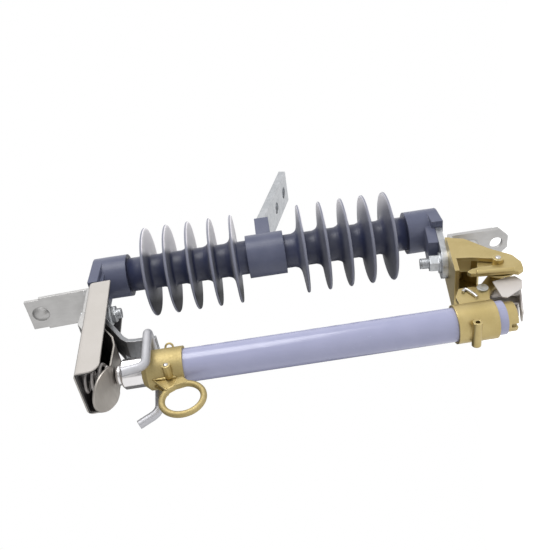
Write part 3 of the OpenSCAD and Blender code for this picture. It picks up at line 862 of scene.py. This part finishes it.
@dataclass
class Insulator:
    """The ribbed silicone housing, turned from one outline."""

    trunk: float = 18.0
    reach: float = 47.5
    rim: float = 1.4
    rim_turn: range = range(-90, 91, 22)
    pitch: float = 23.0
    count: int = 5
    inner_sheds: Pair = (-41.0, 31.0)
    ends: Pair = (-150.0, 147.0)
    root: tuple[Pair, ...] = ((0.0, -2.5), (0.8, -0.8), (3.0, 0.0), (12.0, 0.3))
    lip: tuple[Pair, ...] = ((-6.0, 0.3), (-2.6, -0.1))
    share: tuple[float, ...] = (0.96, 0.74, 0.48, 0.28, 0.14, 0.05, 0.0)
    rise: tuple[float, ...] = (0.122, 0.15, 0.185, 0.22, 0.27, 0.36, 0.52)

    def undersides(self) -> list[float]:
        """Returns: Heights of the sheds' undersides, from the lowest up."""
        low, high = self.inner_sheds
        below = [low - self.pitch * i for i in reversed(range(self.count))]
        return below + [high + self.pitch * i for i in range(self.count)]

    def shed(self, z: float) -> list[Point]:
        """Args: z: Height of the shed's underside. Returns: Its outline from the trunk out and back."""
        under = [(self.trunk + r, 0, z + h) for r, h in self.root] + [(self.reach + r, 0, z + h) for r, h in self.lip]
        turn = [math.radians(a) for a in self.rim_turn]
        middle = self.reach - self.rim
        edge = [(middle + self.rim * math.cos(a), 0, z + self.rim + self.rim * math.sin(a)) for a in turn]
        span = self.reach - self.trunk
        top = [(self.trunk + s * span, 0, z + h * self.pitch) for s, h in zip(self.share, self.rise)]
        return under + edge + smooth_path(top, steps=5)

    def outline(self) -> list[Point]:
        """Returns: The whole outline, from the axis below to the axis above."""
        low, high = self.ends
        points = [(0, 0, low), (self.trunk, 0, low)]
        for z in self.undersides():
            points += self.shed(z)
        return [*points, (self.trunk, 0, high), (0, 0, high)]

    def build(self) -> None:
        """Turns the housing and lets it stand for its solid."""
        points = self.outline()
        piece = WORKS.make(
            "shed_housing", Maker.lathe, points, Coat.silicone, UPRIGHT, Segments=112, Rows=len(points)
        )
        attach(piece, "frame")
        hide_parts("insulator")


@dataclass
class HookRod:
    """The bent round bar of the attachment hooks."""

    half: tuple[Point, ...] = ((31.0, -190.0, 128.5), (27.0, -182.0, 110.0), (23.5, -131.0, 113.0))
    radius: float = 4.0
    bend: float = 8.0
    steps: int = 10

    def path(self) -> list[Point]:
        """Returns: The bar's middle line from tip to tip, with its corners rounded."""
        near = [Vector(p) for p in self.half]
        knots = [*near, *(Vector((-p.x, p.y, p.z)) for p in reversed(near))]
        path = [knots[0]]
        for before, corner, after in zip(knots, knots[1:], knots[2:]):
            start = corner + (before - corner).normalized() * self.bend
            end = corner + (after - corner).normalized() * self.bend
            for i in range(self.steps + 1):
                t = i / self.steps
                path.append(start * (1 - t) ** 2 + corner * (2 * t * (1 - t)) + end * t**2)
        return [tuple(p) for p in [*path, knots[-1]]]

    def build(self) -> None:
        """Draws the bar and lets it stand for its solid."""
        piece = WORKS.make(
            "hook_bar", Maker.sweep, self.path(), Coat.drawn, UPRIGHT, Wire=self.radius, Sides=32
        )
        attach(piece, "frame")
        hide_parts("hook_rod")


@dataclass
class Fixings:
    """Threads on the clamping bolts, web and flange of the hinge, wing of the hook strap and toe of the terminal.

    Each plate has its corners in Y and Z, and the places of its two faces in X.
    """

    bolt: float = 5.0
    lead: float = 1.5
    upper_thread: Pair = (-26.4, -21.8)
    hinge_thread: Pair = (17.4, 25.6)
    web: tuple[Pair, ...] = (
        (-61.6, -178.0), (-58.8, -177.5), (-64.7, -192.0), (-80.0, -203.2), (-82.0, -200.8), (-67.3, -190.4),
    )
    web_sides: Pair = (-21.5, 21.5)
    flange: tuple[Pair, ...] = ((-94.2, -175.5), (-91.2, -175.5), (-93.8, -188.5), (-96.8, -188.5))
    flange_sides: Pair = (9.0, 22.0)
    wing: tuple[Pair, ...] = ((-90.0, 161.2), (-120.3, 142.1), (-117.7, 138.9), (-90.0, 156.6))
    wing_sides: Pair = (-20.0, -9.9)
    toe: tuple[Pair, ...] = ((-14.0, 2.55), (-14.0, 5.45), (-19.0, 7.2), (-32.0, 8.0), (-40.0, 3.6), (-40.0, 2.55))
    toe_sides: Pair = (-18.9, 18.9)

    def thread(self, name: str, ends: Pair, place: Matrix) -> None:
        """Winds a thread on a bolt.

        Args:
            name: The piece's name.
            ends: Ends of the thread along the bolt.
            place: The map from the bolt's axis to the shared frame.
        """
        low, high = ends
        piece = WORKS.make(
            name, Maker.coil, [(0, 0, 0)], Coat.zinc, place @ Matrix.Translation((0, 0, low)),
            Turns=(high - low) / self.lead, Start_Radius=self.bolt, End_Radius=self.bolt, Height=high - low,
            Wire=0.5, Sides=4, Steps=28,
        )
        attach(piece, "frame")

    def build(self) -> None:
        """Winds the threads and sets the web, the flange, the wing and the toe."""
        self.thread("upper_bolt_thread", self.upper_thread, UPPER_SEAT)
        self.thread("hinge_bolt_thread", self.hinge_thread, LOWER_SEAT)
        for name, outline, sides, coat, place, slot in (
            ("hinge_web", self.web, self.web_sides, Coat.brass, UPRIGHT, "brass"),
            ("hinge_flange", self.flange, self.flange_sides, Coat.brass, UPRIGHT, "brass"),
            # The wing takes zinc darkened as painted shade.
            ("strap_wing", self.wing, self.wing_sides, Coat.dull, UPRIGHT, "zinc"),
            ("terminal_toe", self.toe, self.toe_sides, Coat.tin, UPPER_SEAT, "tin"),
        ):
            piece = WORKS.plate(name, outline, sides, coat, place)
            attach(piece, "frame")


@dataclass
class UpperContact:
    """The spring between the hood and the contact spoon."""

    coil: float = 11.0
    wire: float = 1.4
    low: float = 149.5
    high: float = 171.5
    y: float = -157.0

    def build(self) -> None:
        """Winds the spring."""
        at = UPRIGHT @ Matrix.Translation((0, self.y, self.low))
        spring = WORKS.make(
            "contact_spring", Maker.coil, [(0, 0, 0)], Coat.pressed, at, Turns=3.6, Start_Radius=self.coil,
            End_Radius=self.coil, Height=self.high - self.low, Wire=self.wire, Sides=12, Steps=48,
        )
        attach(spring, "frame")


@dataclass
class FuseHolder:
    """Cast details, collars, rivets and link hook of the moving fuse holder, and the pan of its flipper.

    A rivet or screw has its radius and rise, a plate its corners in Y and Z, and the points of a rib have X as a
    share of the gusset's half width.
    """

    pin: Pair = (-109.0, -209.0)
    pin_half: float = 29.0
    rivet: Pair = (2.6, 1.2)
    collar: float = 18.0
    collar_count: int = 48
    collar_sides: Pair = (18.9, 20.2)
    boss: tuple[Point, Point] = ((16.6, -172.6, 96.1), (4.0, -173.4, 95.5))
    boss_radius: float = 3.9
    screw: Pair = (2.2, 1.1)
    gusset: tuple[Pair, ...] = ((-172.0, 110.5), (-188.0, 97.8), (-184.5, 91.5), (-172.0, 87.0))
    gusset_half: float = 3.6
    gusset_inset: float = 0.8
    rib: tuple[Point, ...] = ((1.0, -174.8, 90.0), (1.0, -174.9, 109.6), (0.7, -188.4, 97.4))
    rib_radius: float = 1.25
    eye: Point = (14.6, -147.9, 94.6)
    eye_turn: float = math.radians(34.5)
    eye_radius: float = 3.3
    hook: tuple[Point, ...] = (
        (15.8, -134.6, -168.8), (16.2, -132.4, -170.6), (16.4, -132.2, -172.6), (16.4, -136.6, -175.0),
        (16.4, -141.0, -176.9), (16.0, -144.6, -178.2),
    )
    hook_radius: float = 1.5
    pan: tuple[Pair, ...] = (
        (-122.9, -217.5), (-123.1, -219.9), (-129.8, -223.9), (-130.6, -222.0), (-124.9, -219.0), (-124.8, -217.5),
    )
    pan_wall: tuple[Pair, ...] = (
        (-126.3, -198.5), (-122.5, -214.0), (-123.0, -220.0), (-130.0, -223.5), (-141.0, -219.5), (-151.0, -202.5),
        (-149.0, -198.5),
    )
    pan_half: float = 16.0
    pan_inset: float = 0.4
    pan_sheet: float = 1.2

    def hold(self, piece: bpy.types.Object) -> None:
        """Lets a piece move with the holder. Args: piece: The piece."""
        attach(piece, "fuse_holder")

    def studs(self, name: str, points: Sequence[Point], size: Pair) -> None:
        """Sets domed steel heads on the holder that face sideways.

        Args:
            name: The piece's name.
            points: Their middles in the drawing.
            size: Radius and rise.
        """
        radius, rise = size
        turn = (0, math.pi / 2, 0)
        self.hold(WORKS.make(name, Maker.studs, points, Coat.spring, UPRIGHT, Radius=radius, Rise=rise, Turn=turn))

    def wire(self, name: str, points: Sequence[Point], radius: float, coat: Coat) -> None:
        """Draws a round bar on the holder.

        Args:
            name: The piece's name.
            points: Its middle line in the drawing.
            radius: Its radius.
            coat: Its finish.
        """
        self.hold(WORKS.make(name, Maker.sweep, points, coat, UPRIGHT, Wire=radius, Sides=20))

    def build(self) -> None:
        """Sets the parts of the trunnion, of the upper casting and of the flipper, and the link hook."""
        self.trunnion()
        self.casting()
        self.wire("link_hook", smooth_path(self.hook, steps=6), self.hook_radius, Coat.spring)
        self.flipper()

    def trunnion(self) -> None:
        """Sets the rivets on the pin's ends and the collars behind the cheeks."""
        y, z = self.pin
        self.studs("pin_rivets", [(self.pin_half, y, z), (-self.pin_half, y, z)], self.rivet)
        angles = [math.tau * i / self.collar_count for i in range(self.collar_count)]
        ring = [(y + self.collar * math.cos(a), z + self.collar * math.sin(a)) for a in angles]
        near, far = self.collar_sides
        for name, sides in (("near_collar", (near, far)), ("far_collar", (-far, -near))):
            self.hold(WORKS.plate(name, ring, sides, Coat.brass, UPRIGHT))

    def casting(self) -> None:
        """Sets the clamp's boss and screw, the ring's gusset with its ribs, and the eye."""
        self.wire("clamp_boss", self.boss, self.boss_radius, Coat.brass)
        self.studs("clamp_screw", [self.boss[0]], self.screw)
        half = self.gusset_half - self.gusset_inset
        self.hold(WORKS.plate("ring_gusset", self.gusset, (-half, half), Coat.brass, UPRIGHT))
        for name, x in (("left_rib", -self.gusset_half), ("right_rib", self.gusset_half)):
            self.wire(name, [(x * share, y, z) for share, y, z in self.rib], self.rib_radius, Coat.brass)
        turn = Matrix.Rotation(self.eye_turn, 4, "Z") @ Matrix.Rotation(math.pi / 2, 4, "X")
        self.hold(WORKS.make(
            "casting_eye", Maker.coil, [(0, 0, 0)], Coat.brass, UPRIGHT @ Matrix.Translation(self.eye) @ turn,
            Turns=1.02, Start_Radius=self.eye_radius, End_Radius=self.eye_radius, Height=0.01, Wire=0.9, Sides=10,
            Steps=40,
        ))

    def flipper(self) -> None:
        """Sets the flipper's bent edge and its two side walls."""
        half, bend, inner = self.pan_half, self.pan_half - self.pan_inset, self.pan_half - self.pan_sheet
        for name, outline, sides in (
            ("flipper_pan", self.pan, (-bend, bend)),
            ("flipper_near_wall", self.pan_wall, (inner, half)),
            ("flipper_far_wall", self.pan_wall, (-half, -inner)),
        ):
            piece = WORKS.plate(name, outline, sides, Coat.pressed, UPRIGHT)
            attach(piece, "flipper")


@dataclass
class Dressing:
    """Which finish each solid of the frame takes."""

    # The hook strap takes zinc darkened as painted shade.
    special: dict[str, Coat] = field(default_factory=lambda: {
        "ferrule": Coat.polish, "hook_strap": Coat.dull, "contact_arm": Coat.worn, "upper_casting": Coat.aged,
        "upper_terminal_bolt": Coat.tin, "lower_terminal_bolt": Coat.tin, "flipper": Coat.pressed,
    })

    def build(self) -> None:
        """Puts the finishes on."""
        for entry in frame["record"]["subparts"]:
            node = entry["node"]
            PAINTS.dress(node, self.special.get(node, Coat[entry["material_slot"]]))
            LOG.info("%s: dressed", node)


@dataclass(frozen=True)
class Glow:
    """Light from one side of the room: the way to it in the picture, the range it fades in and its gain."""

    way: Point
    fade: Pair
    gain: float

    def strength(self, w: Wiring, view: Any, least: Any) -> bpy.types.NodeSocket:
        """Args: w: The room's wiring. view: The way looked. least: The light elsewhere. Returns: The light."""
        toward = w.dot(view, CAMERA.direction(*self.way))
        return w.math("MULTIPLY_ADD", w.ramp(toward, *self.fade), self.gain, least)


@dataclass
class Studio:
    """A white room with a pale floor and soft light from above the picture."""

    sky: Glow = Glow((-0.1, 1.0, 0.0), (-0.16, 0.3), 0.85)
    sky_least: float = 0.1
    wall: Glow = Glow((0.0, 0.0, -1.0), (-0.6, 0.6), 0.5)
    wall_least: float = 0.75
    bounce: Glow = Glow((-0.1, -0.85, 0.45), (0.4, 0.9), 0.95)
    fill: float = 0.92
    key: float = 9.0
    side_share: float = 0.25
    floor_gap: float = 0.45
    floor_half: float = 6.0
    floor_back: float = -0.1
    floor_glow: Pair = (0.35, 0.6)

    def world(self) -> None:
        """Makes the room: white where it is seen, and graded where it lights."""
        world = bpy.data.worlds.new("studio")
        world.use_nodes = True
        w = Wiring(world.node_tree)
        world.node_tree.nodes.clear()
        view = w.add("ShaderNodeTexCoord").outputs["Generated"]
        sky = self.sky.strength(w, view, self.sky_least)
        room = w.math("MULTIPLY", sky, self.wall.strength(w, view, self.wall_least))
        light = self.bounce.strength(w, view, room)
        lit = w.add("ShaderNodeBackground", {0: (1, 1, 1, 1), 1: w.math("MULTIPLY", light, self.fill)})
        seen = w.add("ShaderNodeBackground", {0: (1, 1, 1, 1), 1: 1.0})
        path = w.add("ShaderNodeLightPath").outputs["Is Camera Ray"]
        both = w.add("ShaderNodeMixShader", {0: path, 1: lit.outputs[0], 2: seen.outputs[0]})
        w.add("ShaderNodeOutputWorld", {0: both.outputs[0]})
        bpy.context.scene.world = world

    def floor(self) -> None:
        """Lays the floor below the object."""
        mesh = bpy.data.meshes.new("floor")
        shell = bmesh.new()
        bmesh.ops.create_grid(shell, x_segments=4, y_segments=4, size=self.floor_half)
        shell.to_mesh(mesh)
        shell.free()
        mesh.transform(Matrix.Translation((0, self.floor_back, CAD_BOX[0][2] - self.floor_gap)))
        mat = bpy.data.materials.new("floor")
        mat.use_nodes = True
        w = Wiring(mat.node_tree)
        path = w.add("ShaderNodeLightPath").outputs["Is Camera Ray"]
        shader = mat.node_tree.nodes["Principled BSDF"]
        for name, value in {
            "Base Color": (0.6, 0.6, 0.6, 1),
            "Roughness": 0.9,
            "Emission Color": (1, 1, 1, 1),
            "Emission Strength": w.math("MULTIPLY_ADD", path, *self.floor_glow),
        }.items():
            w.feed(shader.inputs[name], value)
        mesh.materials.append(mat)
        floor = show("floor", mesh)

    def lamp(self, name: str, toward: Vector, power: float, size: float, distance: float) -> None:
        """Hangs a soft lamp that faces the object.

        Args:
            name: Its name.
            toward: Direction from the object to the lamp.
            power: Its power in watts.
            size: Its side in metres.
            distance: Its distance in metres.
        """
        data = bpy.data.lights.new(name, "AREA")
        data.energy, data.size = power, size
        lamp = show(name, data)
        middle = Vector(CAD_BOX[0]) * 0.5 + Vector(CAD_BOX[1]) * 0.5
        turn = toward.to_track_quat("Z", "Y").to_matrix().to_4x4()
        lamp.matrix_world = Matrix.Translation(middle + toward * distance) @ turn

    def build(self) -> None:
        """Sets up room, floor and lamps."""
        bpy.context.scene.view_settings.view_transform = "Standard"
        self.world()
        self.floor()
        above, beside = CAMERA.direction(-0.35, 0.85, 0.45), CAMERA.direction(0.7, 0.1, 0.7)
        self.lamp("key", above, power=self.key, size=0.7, distance=1.1)
        self.lamp("side", beside, power=self.key * self.side_share, size=0.5, distance=1.2)


def main() -> None:
    """Builds the looks in order."""
    logging.basicConfig(level=logging.INFO, format="%(message)s")
    CAMERA.build()
    for assembly in (Dressing(), Insulator(), HookRod(), Fixings(), UpperContact(), FuseHolder(), Studio()):
        assembly.build()
        LOG.info("%s done", type(assembly).__name__)


if __name__ == "__main__":
    main()
